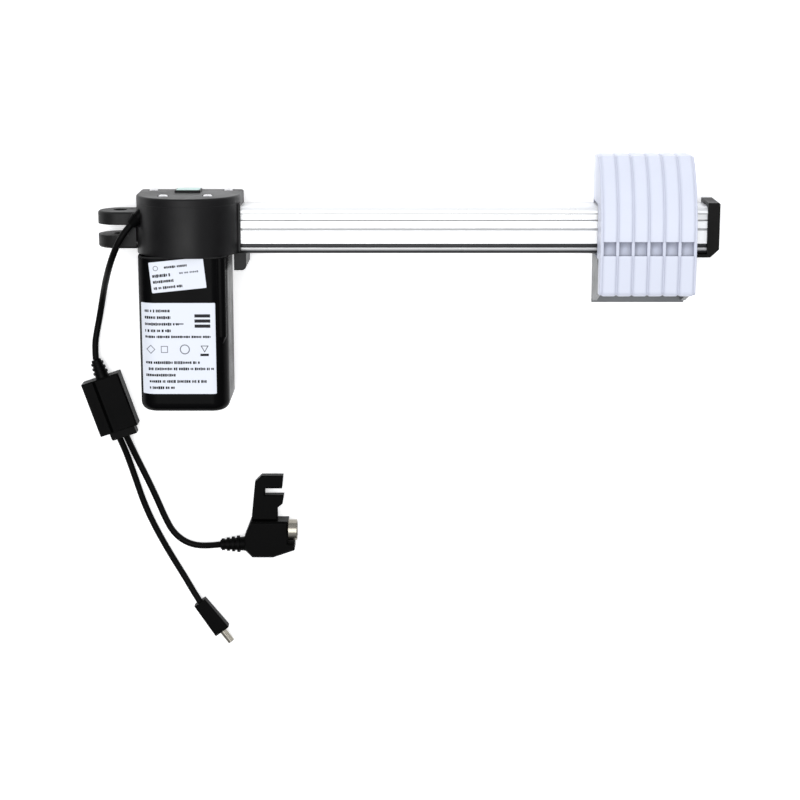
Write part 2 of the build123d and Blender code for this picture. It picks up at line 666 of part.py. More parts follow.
CAP_LOW, CAP_HIGH = 18.7, 59.0
CAP_LEFT = 221.0
CAP_TONGUE_X = 212.0      # where the tongue under the rail ends
CAP_SLOPE_X = 223.5
CAP_BACK, CAP_FRONT = 3.5, 40.5
with BuildPart() as rail_end_cap:
    with BuildSketch(Plane.XY.offset(CAP_BACK)):
        with BuildLine():
            Polyline(
                (CAP_TONGUE_X, CAP_LOW),
                (CAP_SLOPE_X, CAP_LOW),
                (HALF_LENGTH, CAP_LOW + 6),
                (HALF_LENGTH, CAP_HIGH - 1),
                (HALF_LENGTH - 1, CAP_HIGH),
                (CAP_LEFT, CAP_HIGH),
                (CAP_LEFT, RAIL_LOW),
                (CAP_TONGUE_X, RAIL_LOW),
                close=True,
            )
        make_face()
    extrude(amount=CAP_FRONT - CAP_BACK)
    fillet(faces().sort_by(Axis.X)[-1].edges(), 0.8)
    with BuildSketch(spindle_point(CAP_LEFT - 1)):
        RectangleRounded(RAIL_W, RAIL_H, 4)
    extrude(amount=RAIL_RIGHT - CAP_LEFT + 1, mode=Mode.SUBTRACT)
    with BuildSketch(spindle_point(SPINDLE_END + 2)):
        RectangleRounded(CAVITY_W - 0.2, CAVITY_H - 0.2, 1)
    extrude(amount=RAIL_RIGHT - SPINDLE_END - 2)
    disc(spindle_point(SPINDLE_END), 6.5 + FIT, RAIL_RIGHT - SPINDLE_END, mode=Mode.SUBTRACT)
    for y, z in CAP_SCREWS:
        with BuildSketch(along_x(RAIL_RIGHT - 1)):
            with Locations((y, z)):
                Circle(1.6)
        extrude(amount=8, mode=Mode.SUBTRACT)
        with BuildSketch(along_x(HALF_LENGTH + 1)):
            with Locations((y, z)):
                Circle(3.4)
        extrude(amount=-3.6, mode=Mode.SUBTRACT)
keep(rail_end_cap, "rail_end_cap")

with BuildPart() as end_cap_screws:
    for y, z in CAP_SCREWS:
        seat = Plane(origin=(HALF_LENGTH - 2.6, y, z), x_dir=(0, 1, 0), z_dir=(1, 0, 0))
        screw(seat, 3.0, 2.2, 1.4, 13, drive_r=1.2)
keep(end_cap_screws, "end_cap_screws")

with BuildPart() as spindle_end_bush:
    ring(spindle_point(SPINDLE_END + 2), 6.5, 4 + FIT, RAIL_RIGHT - SPINDLE_END - 2)
keep(spindle_end_bush, "spindle_end_bush")

# ---- travel nut and limit switches --------------------------------------------------
NUT_LENGTH = 30.0
NUT_HALF = 9.8
NECK_LOW = 11.0
NECK_HALF = 4.8
SLIDER_SCREW_Y = 15.0
SLIDER_SCREWS = [BLOCK_MID - 8, BLOCK_MID + 8]
TRAVEL = 250.0

with BuildPart() as travel_nut:
    nut_left, nut_right = BLOCK_MID - NUT_LENGTH / 2, BLOCK_MID + NUT_LENGTH / 2
    with BuildSketch(spindle_point(nut_left)):
        RectangleRounded(2 * NUT_HALF, 2 * NUT_HALF, 2)
    extrude(amount=NUT_LENGTH)
    block(
        (nut_left + 2, NECK_LOW, SPINDLE_Z - NECK_HALF),
        (nut_right - 2, RAIL_Y - NUT_HALF + 2, SPINDLE_Z + NECK_HALF),
    )
    disc(spindle_point(nut_left - 1), SPINDLE_R + FIT, NUT_LENGTH + 2, mode=Mode.SUBTRACT)
    for x in SLIDER_SCREWS:
        with BuildSketch(Plane.XY):
            with Locations((x, SLIDER_SCREW_Y)):
                Circle(2.0 + FIT)
        extrude(amount=60, mode=Mode.SUBTRACT)
keep(travel_nut, "travel_nut")

BOARD_INNER = RAIL_Y + CAVITY_W / 2 - 1.2
BOARD_RIGHT = SPINDLE_END + 1
with BuildPart() as limit_switch_board:
    block(
        (RAIL_LEFT + 2, BOARD_INNER, SPINDLE_Z - 8),
        (BOARD_RIGHT, BOARD_INNER + 1.15, SPINDLE_Z + 8),
    )
keep(limit_switch_board, "limit_switch_board")

with BuildPart() as limit_switches:
    for low in (nut_right + 1.5, nut_left - TRAVEL - 1.5 - 12):
        block(
            (low, RAIL_Y + 6.7, SPINDLE_Z - 3),
            (low + 12, BOARD_INNER, SPINDLE_Z + 3),
        )
        fillet(edges().filter_by(Axis.X).group_by(Axis.Y)[0], 0.5)
        button_left = low - 1.2 if low > 0 else low + 12
        block(
            (button_left, RAIL_Y + 8.0, SPINDLE_Z - 1.2),
            (button_left + 1.2, BOARD_INNER - 1.5, SPINDLE_Z + 1.2),
        )
keep(limit_switches, "limit_switches")

with BuildPart() as control_board:
    block((MOTOR_X - 25, BOARD_Y, 12), (MOTOR_X + 25, BOARD_Y + 1.6, 54))
    for x in (MOTOR_X - 15, MOTOR_X + 3):
        block((x, BOARD_Y - 8, 27), (x + 12, BOARD_Y, 41))
    disc(Plane(origin=(MOTOR_X, BOARD_Y + 1.6, 19), x_dir=(1, 0, 0), z_dir=(0, 1, 0)), 4, 5)
keep(control_board, "control_board")

# ---- slider block -------------------------------------------------------------------
BLOCK_BACK = SHEET
CREST_Y = RAIL_Y - 5.0        # where the round upper front meets the recess
RECESS_LOW = CREST_Y - 10.0
CREST_R = 72.6
PAD_T = 1.85
PAD_GAP = 0.15


def block_outline():
    """The fins' section across the rail, in Y and Z, with its lower and back corners rounded."""
    rise = BLOCK_FRONT - CREST_R
    mid_y = (CREST_Y + BLOCK_HIGH) / 2 + 5
    mid_z = rise + math.sqrt(CREST_R**2 - (mid_y - CREST_Y) ** 2)
    top_z = rise + math.sqrt(CREST_R**2 - (BLOCK_HIGH - CREST_Y) ** 2)
    with BuildLine() as outline:
        ThreePointArc((CREST_Y, BLOCK_FRONT), (mid_y, mid_z), (BLOCK_HIGH, top_z))
        Polyline(
            (BLOCK_HIGH, top_z),
            (BLOCK_HIGH, BLOCK_BACK),
            (BLOCK_LOW, BLOCK_BACK),
            (BLOCK_LOW, BLOCK_FRONT - 2),
            (RECESS_LOW - 2, BLOCK_FRONT),
            (CREST_Y, BLOCK_FRONT),
        )
    with BuildSketch(mode=Mode.PRIVATE) as section:
        make_face(outline.edges())
        fillet(section.vertices().group_by(Axis.X)[-1].sort_by(Axis.Y)[0], 9)
        fillet(section.vertices().group_by(Axis.X)[0].sort_by(Axis.Y)[-1], 4)
    add(section.sketch)


with BuildPart() as slider_block:
    # crowned panels, side by side
    pitch = (BLOCK_LENGTH - FIN_T) / (FIN_COUNT - 1)
    first = BLOCK_LEFT + FIN_T / 2
    for i in range(FIN_COUNT - 1):
        left = first + i * pitch
        with BuildPart(mode=Mode.PRIVATE) as panel:
            with BuildSketch(along_x(left)):
                block_outline()
            extrude(amount=pitch)
            ends = panel.faces().filter_by(Axis.X)
            fillet(ends.edges().filter_by(lambda e: e.center().Z > BLOCK_BACK + 1), PANEL_R)
        add(panel.part)
    # recess across the panels, which the ribs bridge
    with BuildSketch(along_x(BLOCK_LEFT)):
        with BuildLine():
            Polyline(
                (RECESS_LOW, BLOCK_FRONT + 1),
                (RECESS_LOW - 0.4, BLOCK_FRONT - 4.5),
                (CREST_Y - 1.5, BLOCK_FRONT - 9.5),
                (CREST_Y + 0.5, BLOCK_FRONT - 7),
                (CREST_Y, BLOCK_FRONT + 1),
                close=True,
            )
        make_face()
    extrude(amount=BLOCK_LENGTH, mode=Mode.SUBTRACT)
    for i in range(FIN_COUNT):
        with BuildSketch(along_x(BLOCK_LEFT + i * pitch)):
            block_outline()
            offset(amount=-FIN_INSET)
        extrude(amount=FIN_T)
    # way for the rail and its glide pads, open at the back between two lips
    low, high = RAIL_LOW - PAD_T - PAD_GAP, RAIL_HIGH + PAD_T + PAD_GAP
    block(
        (BLOCK_LEFT - 1, low, RAIL_BACK - PAD_GAP),
        (BLOCK_RIGHT + 1, high, RAIL_FRONT + PAD_T + PAD_GAP),
        mode=Mode.SUBTRACT,
    )
    block(
        (BLOCK_LEFT - 1, RAIL_LOW + 6, 0),
        (BLOCK_RIGHT + 1, RAIL_HIGH - 6, RAIL_BACK + 1),
        mode=Mode.SUBTRACT,
    )
    # seat of the nut's neck
    block(
        (nut_left + 2 - FIT, NECK_LOW, SPINDLE_Z - NECK_HALF - FIT),
        (nut_right - 2 + FIT, low + 1, SPINDLE_Z + NECK_HALF + FIT),
        mode=Mode.SUBTRACT,
    )
    # hollows in the upper part, open at the back
    for i in range(3):
        x = BLOCK_LEFT + 5 + i * 21
        block((x, high + 3, 0), (x + 18, BLOCK_HIGH - 6, 34), mode=Mode.SUBTRACT)
    # steps at both ends for the bracket's flanges
    for x in (BLOCK_LEFT - 1, BLOCK_RIGHT - SHEET):
        block((x, BLOCK_LOW - 1, 0), (x + SHEET + 1, low - 0.5, 50.5), mode=Mode.SUBTRACT)
    for x in SLIDER_SCREWS:
        with BuildSketch(Plane.XY):
            with Locations((x, SLIDER_SCREW_Y)):
                Circle(2.0 + FIT)
        extrude(amount=36, mode=Mode.SUBTRACT)
        with BuildSketch(Plane.XY):
            with Locations((x, SLIDER_SCREW_Y)):
                Circle(3.8)
        extrude(amount=8, mode=Mode.SUBTRACT)
    for x in (BLOCK_LEFT + 12, BLOCK_RIGHT - 12):
        with BuildSketch(Plane.XY):
            with Locations((x, 4)):
                Circle(2.4 + FIT)
        extrude(amount=20, mode=Mode.SUBTRACT)
keep(slider_block, "slider_block")

with BuildPart() as slider_screws:
    for x in SLIDER_SCREWS:
        seat = Plane(origin=(x, SLIDER_SCREW_Y, 8), x_dir=(1, 0, 0), z_dir=(0, 0, -1))
        screw(seat, 3.5, 3, 2.0, 26)
keep(slider_screws, "slider_screws")

with BuildPart() as glide_pads:
    pad_left, pad_right = BLOCK_LEFT + 3, BLOCK_RIGHT - 3
    front = RAIL_FRONT + PAD_GAP
    block((pad_left, RAIL_LOW + 3, front), (pad_right, RAIL_HIGH - 3, front + PAD_T))
    block(
        (pad_left, RAIL_HIGH + PAD_GAP, RAIL_BACK + 3),
        (pad_right, RAIL_HIGH + PAD_GAP + PAD_T, RAIL_FRONT - 3),
    )
    for z in (RAIL_BACK + 2, SPINDLE_Z + NUT_SLOT / 2 + 1):
        block(
            (pad_left + 3, RAIL_LOW - PAD_GAP - PAD_T, z),
            (pad_right - 3, RAIL_LOW - PAD_GAP, z + 8),
        )
keep(glide_pads, "glide_pads")

BRACKET_LOW = -20.8
BRACKET_HIGH = 21.0
FLANGE_LOW, FLANGE_HIGH = -18.0, 18.0
FLANGE_TOP = 50.0
BRACKET_HOLES = [BLOCK_MID - 25, BLOCK_MID + 25]
BRACKET_HOLE_Y = -13.3
BRACKET_HOLE_R = 3.25
with BuildPart() as slider_bracket:
    block((BLOCK_LEFT, BRACKET_LOW, 0), (BLOCK_RIGHT, BRACKET_HIGH, FLANGE_TOP))
    fillet(edges().filter_by(Axis.Y).group_by(Axis.Z)[0], SHEET - 0.2)
    block(
        (BLOCK_LEFT + SHEET, BRACKET_LOW - 1, SHEET),
        (BLOCK_RIGHT - SHEET, BRACKET_HIGH + 1, FLANGE_TOP + 1),
        mode=Mode.SUBTRACT,
    )
    # the flanges' outline, cut back towards their tops
    with BuildSketch(along_x(BLOCK_LEFT - 1)):
        with BuildLine():
            Polyline(
                (BRACKET_LOW - 1, -1),
                (BRACKET_LOW - 1, SHEET),
                (FLANGE_LOW, SHEET),
                (FLANGE_LOW, 12),
                (-6, FLANGE_TOP),
                (FLANGE_HIGH - 6, FLANGE_TOP),
                (FLANGE_HIGH, FLANGE_TOP - 6),
                (FLANGE_HIGH, SHEET),
                (BRACKET_HIGH + 1, SHEET),
                (BRACKET_HIGH + 1, -1),
                close=True,
            )
        make_face()
    extrude(amount=BLOCK_LENGTH + 2, mode=Mode.INTERSECT)
    for x in BRACKET_HOLES:
        with BuildSketch(Plane.XY):
            with Locations((x, BRACKET_HOLE_Y)):
                Circle(BRACKET_HOLE_R)
        extrude(amount=10, mode=Mode.SUBTRACT)
    for x in (BLOCK_LEFT + 12, BLOCK_RIGHT - 12):
        with Locations(Location((x, 4, 0), (180, 0, 0))):
            CounterSinkHole(2.4 + FIT, 4.6, depth=10)
keep(slider_bracket, "slider_bracket")

with BuildPart() as bracket_screws:
    for x in (BLOCK_LEFT + 12, BLOCK_RIGHT - 12):
        with BuildSketch(Plane.XY.offset(0.2)):
            with Locations((x, 4)):
                Circle(4.2)
        with BuildSketch(Plane.XY.offset(2.0)):
            with Locations((x, 4)):
                Circle(2.4)
        loft()
        with BuildSketch(Plane.XY.offset(2.0)):
            with Locations((x, 4)):
                Circle(2.4)
        extrude(amount=17)
        with BuildSketch(Plane.XY):
            with Locations((x, 4)):
                RegularPolygon(1.3, 6)
        extrude(amount=1.2, mode=Mode.SUBTRACT)
keep(bracket_screws, "bracket_screws")


# ---- cables, splitter, plug and connector -------------------------------------------
def cable(route, name):
    """Sweep a round cable along straight runs joined by arcs as large as the runs allow."""
    points = [Vector(p) for p in route]
    runs = [(b - a).length for a, b in zip(points, points[1:])]
    radii = []
    for i in range(1, len(points) - 1):
        turn = math.radians((points[i] - points[i - 1]).get_angle(points[i + 1] - points[i]))
        radii.append(0.45 * min(runs[i - 1], runs[i]) / math.tan(turn / 2))
    with BuildPart() as tube:
        with BuildLine():
            path = FilletPolyline(*points, radius=radii)
        with BuildSketch(Plane(origin=path @ 0, z_dir=path % 0)):
            Circle(CABLE_D / 2)
        sweep(path=path)
    expected = math.pi * (CABLE_D / 2) ** 2 * path.length
    shown = ", ".join(f"{r:.0f}" for r in radii)
    print(f"{name}: length {path.length:.1f}, volume/expected {tube.part.volume / expected:.4f}")
    print(f"  runs {min(runs):.1f} to {max(runs):.1f}, radii {shown}")
    keep(tube, name)


SPLITTER = Plane(origin=(-227.6, -98.8, 0), x_dir=(0.947, 0.322, 0), z_dir=(0, 0, 1))
SPLITTER_W = 30.0
SPLITTER_L = 43.0
SPLITTER_H = 15.0
SEAM = -5.0

MAIN_ROUTE = [
    CABLE_START,
    (-207.9, 37.9, 47.2),
    (-212.9, 29.6, 46.9),
    (-217.2, 20.3, 43.8),
    (-221.2, 10.6, 36.6),
    (-225.0, 1.0, 26.0),
    (-228.5, -8.6, 14.6),
    (-231.4, -18.8, 6.4),
    (-234.0, -30.4, 2.9),
    (-236.6, -42.4, 2.7),
    (-238.6, -54.0, 4.6),
    (-237.6, -64.5, 7.5),
]
PLUG_ROUTE = [
    (-221.3, -125.7, 7.5),
    (-217.4, -137.0, 4.3),
    (-214.0, -148.6, 2.7),
    (-209.7, -162.3, 2.5),
    (-205.2, -177.2, 2.5),
    (-198.9, -193.0, 2.5),
    (-191.0, -209.2, 2.5),
    (-182.2, -225.2, 2.5),
    (-173.4, -240.2, 2.9),
    (-168.0, -249.6, 4.4),
    (-162.5, -258.4, 5.6),
]
HANDSET_ROUTE = [
    (-216.2, -124.0, 7.5),
    (-212.4, -134.6, 4.4),
    (-207.9, -145.6, 2.7),
    (-201.0, -160.6, 2.5),
    (-194.5, -175.6, 2.5),
    (-188.7, -190.4, 2.5),
    (-182.4, -203.0, 2.5),
    (-172.2, -211.4, 2.6),
    (-158.9, -213.8, 4.4),
    (-145.0, -211.0, 8.2),
]
cable(MAIN_ROUTE, "main_cable")
cable(PLUG_ROUTE, "plug_cable")
cable(HANDSET_ROUTE, "handset_cable")

for part_name, x_low, x_high in (
    ("splitter_narrow_half", -SPLITTER_W / 2, SEAM),
    ("splitter_wide_half", SEAM, SPLITTER_W / 2),
):
    with BuildPart() as splitter_half:
        with BuildSketch(SPLITTER):
            with Locations(((x_low + x_high) / 2, 0)):
                Rectangle(x_high - x_low, SPLITTER_L)
        extrude(amount=SPLITTER_H)
        top = splitter_half.faces().sort_by(Axis.Z)[-1]
        chamfer(top.edges(), 1.2)
    keep(splitter_half, part_name)

BOOT_X = 1.5
with BuildPart() as splitter_boot_in:
    boot_plane = Plane(
        origin=SPLITTER.from_local_coords(Vector(BOOT_X, SPLITTER_L / 2, 7.5)),
        x_dir=(0, 0, 1),
        z_dir=(-0.322, 0.947, 0),
    )
    with BuildSketch(boot_plane):
        Circle(5.2)
    with BuildSketch(boot_plane.offset(14)):
        Circle(3.6)
    loft()
    for i in range(3):
        ring(boot_plane.offset(3 + 3.6 * i), 5.7 - 0.4 * i, 3, 1.6)
keep(splitter_boot_in, "splitter_boot_in")

with BuildPart() as splitter_boot_out:
    with BuildSketch(SPLITTER.offset(2.5)):
        with Locations((2.0, -SPLITTER_L / 2 - 3)):
            Rectangle(20, 6)
    extrude(amount=10)
    fillet(edges().filter_by(Axis.Z).group_by(Axis.Y)[0], 1.5)
keep(splitter_boot_out, "splitter_boot_out")

PLUG_BACK = (-162.5, -258.4, 5.6)
PLUG_DIR = (0.593, -0.805, 0)
plug_plane = Plane(origin=PLUG_BACK, x_dir=(0, 0, 1), z_dir=PLUG_DIR)
with BuildPart() as dc_plug_body:
    with BuildSketch(plug_plane):
        RectangleRounded(9.0, 10.4, 1.5)
    with BuildSketch(plug_plane.offset(29)):
        RectangleRounded(11.0, 12.9, 2)
    loft()
keep(dc_plug_body, "dc_plug_body")

with BuildPart() as dc_barrel:
    disc(plug_plane.offset(29), 2.75, 11.5)
    disc(plug_plane.offset(33), 1.3, 8, mode=Mode.SUBTRACT)
keep(dc_barrel, "dc_barrel")

DIN_Z = 8.6
DIN_AXIS_Y = -199.0
with BuildPart() as din_body:
    with BuildSketch(Plane.XY):
        with BuildLine():
            Polyline(
                (-126, -203),
                (-121, -190.5),
                (-92, -190.5),
                (-92, -208),
                (-87.2, -208),
                (-87.2, -213.6),
                (-104, -219.4),
                (-120, -219.4),
                (-126, -213),
                close=True,
            )
        make_face()
    extrude(amount=2 * DIN_Z)
    chamfer(faces().sort_by(Axis.Z)[-1].edges(), 1.5)
keep(din_body, "din_body")

with BuildPart() as din_boot:
    din_boot_plane = Plane(
        origin=(-145.0, -211.0, 8.2), x_dir=(0, 0, 1), z_dir=(19, 0.8, 0.4)
    )
    with BuildSketch(din_boot_plane):
        Circle(3.6)
    with BuildSketch(din_boot_plane.offset(19)):
        Circle(5.6)
    loft()
    for i in range(4):
        ring(din_boot_plane.offset(1 + 4 * i), 4.7 + 0.6 * i, 3, 2.0)
    split(bisect_by=Plane.YZ.offset(-126), keep=Keep.BOTTOM)
keep(din_boot, "din_boot")

CLIP_LOW, CLIP_HIGH = 4.5, 12.5
NOTCH_LOW, NOTCH_HIGH = -170.3, -165.2      # the open notch between the hooks
with BuildPart() as din_clip:
    with BuildSketch(Plane.XY.offset(CLIP_LOW)):
        with BuildLine():
            Polyline(
                (-120.6, -190.5),
                (-117.4, -160.0),
                (-112.4, -155.0),
                (-95.6, -155.0),
                (-96.6, NOTCH_HIGH),
                (-109.8, NOTCH_HIGH),
                (-109.8, NOTCH_LOW),
                (-95.2, NOTCH_LOW),
                (-96.4, -177.6),
                (-100.4, -180.6),
                (-100.2, -190.5),
                close=True,
            )
        make_face()
    extrude(amount=CLIP_HIGH - CLIP_LOW)
    chamfer(faces().sort_by(Axis.Z)[-1].edges(), 1.0)
keep(din_clip, "din_clip")

din_plane = Plane(origin=(-92, DIN_AXIS_Y, DIN_Z), x_dir=(0, 0, 1), z_dir=(1, 0, 0))
with BuildPart() as din_shell:
    ring(din_plane, 8.2, 7.4, 6.6)
keep(din_shell, "din_shell")

with BuildPart() as din_insulator:
    disc(din_plane, 7.4, 2.2)
keep(din_insulator, "din_insulator")

with BuildPart() as din_pins:
    with BuildSketch(din_plane.offset(2.2)):
        for angle in (-120, -60, 0, 60, 120):
            with Locations((4.2 * math.cos(math.radians(angle)), 4.2 * math.sin(math.radians(angle)))):
                Circle(0.75)
    extrude(amount=3.6)
keep(din_pins, "din_pins")
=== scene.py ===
import json
import math
import random

import bmesh
import bpy
from mathutils import Matrix, Vector


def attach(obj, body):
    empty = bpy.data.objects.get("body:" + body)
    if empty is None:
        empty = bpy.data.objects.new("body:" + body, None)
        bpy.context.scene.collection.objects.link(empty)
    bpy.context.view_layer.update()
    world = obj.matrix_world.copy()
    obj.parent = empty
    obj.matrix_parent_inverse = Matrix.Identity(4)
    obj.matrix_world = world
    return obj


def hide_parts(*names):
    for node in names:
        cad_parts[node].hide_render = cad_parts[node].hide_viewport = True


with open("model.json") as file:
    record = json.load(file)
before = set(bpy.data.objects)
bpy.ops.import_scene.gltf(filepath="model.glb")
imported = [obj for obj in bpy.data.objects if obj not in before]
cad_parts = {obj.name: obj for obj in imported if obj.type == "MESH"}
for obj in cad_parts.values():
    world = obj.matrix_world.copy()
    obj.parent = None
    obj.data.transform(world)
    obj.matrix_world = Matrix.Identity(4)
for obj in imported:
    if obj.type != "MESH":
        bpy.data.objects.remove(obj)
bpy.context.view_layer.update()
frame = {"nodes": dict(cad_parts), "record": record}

# Linear actuator with a sliding block, in the same frame as the CAD model. Lengths are in
# metres, but in millimetres in names that end in _MM and where a comment says so.

MM = 0.001
nodes = frame["nodes"]
scene = bpy.context.scene


# ---- small helpers ------------------------------------------------------------------
def link(obj):
    scene.collection.objects.link(obj)
    return obj


def add_node(tree, kind, inputs=None, **settings):
    """One shader node. A value that is a socket is linked, any other is set."""
    made = tree.nodes.new(kind)
    for key, value in settings.items():
        setattr(made, key, value)
    for socket, value in (inputs or {}).items():
        if isinstance(value, bpy.types.NodeSocket):
            tree.links.new(value, made.inputs[socket])
        else:
            made.inputs[socket].default_value = value
    return made


def mesh_object(name, mesh, sharp_angle=None):
    """An object from a bmesh, smooth but for edges sharper than the angle, in degrees."""
    data = bpy.data.meshes.new(name)
    mesh.to_mesh(data)
    mesh.free()
    if sharp_angle:
        data.shade_smooth()
        data.set_sharp_from_angle(angle=math.radians(sharp_angle))
    return link(bpy.data.objects.new(name, data))


def multiply(colour, factor):
    return tuple(min(1.0, max(0.0, c * factor)) for c in colour[:3]) + (1.0,)


# ---- materials ----------------------------------------------------------------------
def surface(
    name,
    colour,
    roughness,
    metallic=0.0,
    specular=0.5,
    grain_scale=2200.0,
    grain_height=0.00002,
    grain_stretch=(1.0, 1.0, 1.0),
    mottle_scale=35.0,
    mottle=0.12,
    rough_spread=0.08,
    wear=0.0,
    wear_colour=(0.5, 0.5, 0.5),
    edge_radius=0.0004,
    crevice_shade=0.0,
    crevice_reach=0.003,
):
    """A surface with fine relief, slow colour change, uneven gloss, worn edges and, if asked,
    painted shade in its crevices.
    """
    mat = bpy.data.materials.new(name)
    mat.use_nodes = True
    tree = mat.node_tree
    shader = tree.nodes["Principled BSDF"]
    shader.inputs["Metallic"].default_value = metallic
    shader.inputs["Specular IOR Level"].default_value = specular
    place = add_node(tree, "ShaderNodeTexCoord").outputs["Object"]
    stretched = add_node(tree, "ShaderNodeMapping", {"Vector": place, "Scale": grain_stretch})
    fine = add_node(
        tree,
        "ShaderNodeTexNoise",
        {"Vector": stretched.outputs["Vector"], "Scale": grain_scale, "Detail": 3.0},
    )
    broad = add_node(
        tree,
        "ShaderNodeTexNoise",
        {"Vector": place, "Scale": mottle_scale, "Detail": 5.0, "Roughness": 0.6},
    )
    tone = add_node(tree, "ShaderNodeMix", {"Factor": broad.outputs["Fac"]}, data_type="RGBA")
    # ShaderNodeMix has one A and B per data type, so the colour pair is set by index
    tone.inputs[6].default_value = multiply(colour, 1 - mottle)
    tone.inputs[7].default_value = multiply(colour, 1 + mottle)
    colour_out = tone.outputs[2]
    rounded = add_node(tree, "ShaderNodeBevel", {"Radius": edge_radius}, samples=4)
    if wear > 0:
        facing = add_node(tree, "ShaderNodeNewGeometry")
        dot = add_node(
            tree,
            "ShaderNodeVectorMath",
            {0: rounded.outputs["Normal"], 1: facing.outputs["Normal"]},
            operation="DOT_PRODUCT",
        )
        edge = add_node(
            tree,
            "ShaderNodeMapRange",
            {"Value": dot.outputs["Value"], "From Min": 0.995, "From Max": 0.86},
        )
        patchy = add_node(
            tree,
            "ShaderNodeMapRange",
            {"Value": fine.outputs["Fac"], "From Min": 0.35, "From Max": 0.7},
        )
        amount = add_node(
            tree,
            "ShaderNodeMath",
            {0: edge.outputs["Result"], 1: patchy.outputs["Result"]},
            operation="MULTIPLY",
        )
        share = add_node(
            tree, "ShaderNodeMath", {0: amount.outputs["Value"], 1: wear}, operation="MULTIPLY"
        )
        worn = add_node(
            tree, "ShaderNodeMix", {"Factor": share.outputs["Value"]}, data_type="RGBA"
        )
        tree.links.new(colour_out, worn.inputs[6])
        worn.inputs[7].default_value = tuple(wear_colour) + (1.0,)
        colour_out = worn.outputs[2]
    # painted shade: ambient occlusion darkens the colour in crevices and recesses, where shade
    # falls
    if crevice_shade > 0:
        hidden = add_node(
            tree, "ShaderNodeAmbientOcclusion", {"Distance": crevice_reach}, samples=8
        )
        depth = add_node(
            tree,
            "ShaderNodeMapRange",
            {"Value": hidden.outputs["AO"], "From Min": 0.5, "From Max": 0.93, "To Min": crevice_shade,
             "To Max": 0.0},
        )
        crevice_shade_mix = add_node(
            tree, "ShaderNodeMix", {"Factor": depth.outputs["Result"]}, data_type="RGBA"
        )
        tree.links.new(colour_out, crevice_shade_mix.inputs[6])
        crevice_shade_mix.inputs[7].default_value = multiply(colour, 0.12)
        colour_out = crevice_shade_mix.outputs[2]
    tree.links.new(colour_out, shader.inputs["Base Color"])
    gloss = add_node(
        tree,
        "ShaderNodeMapRange",
        {
            "Value": broad.outputs["Fac"],
            "From Min": 0.3,
            "From Max": 0.7,
            "To Min": max(0.03, roughness - rough_spread),
            "To Max": min(1.0, roughness + rough_spread),
        },
    )
    tree.links.new(gloss.outputs["Result"], shader.inputs["Roughness"])
    relief = add_node(
        tree,
        "ShaderNodeBump",
        {
            "Height": fine.outputs["Fac"],
            "Normal": rounded.outputs["Normal"],
            "Strength": 1.0,
            "Distance": grain_height,
        },
    )
    tree.links.new(relief.outputs["Normal"], shader.inputs["Normal"])
    return mat


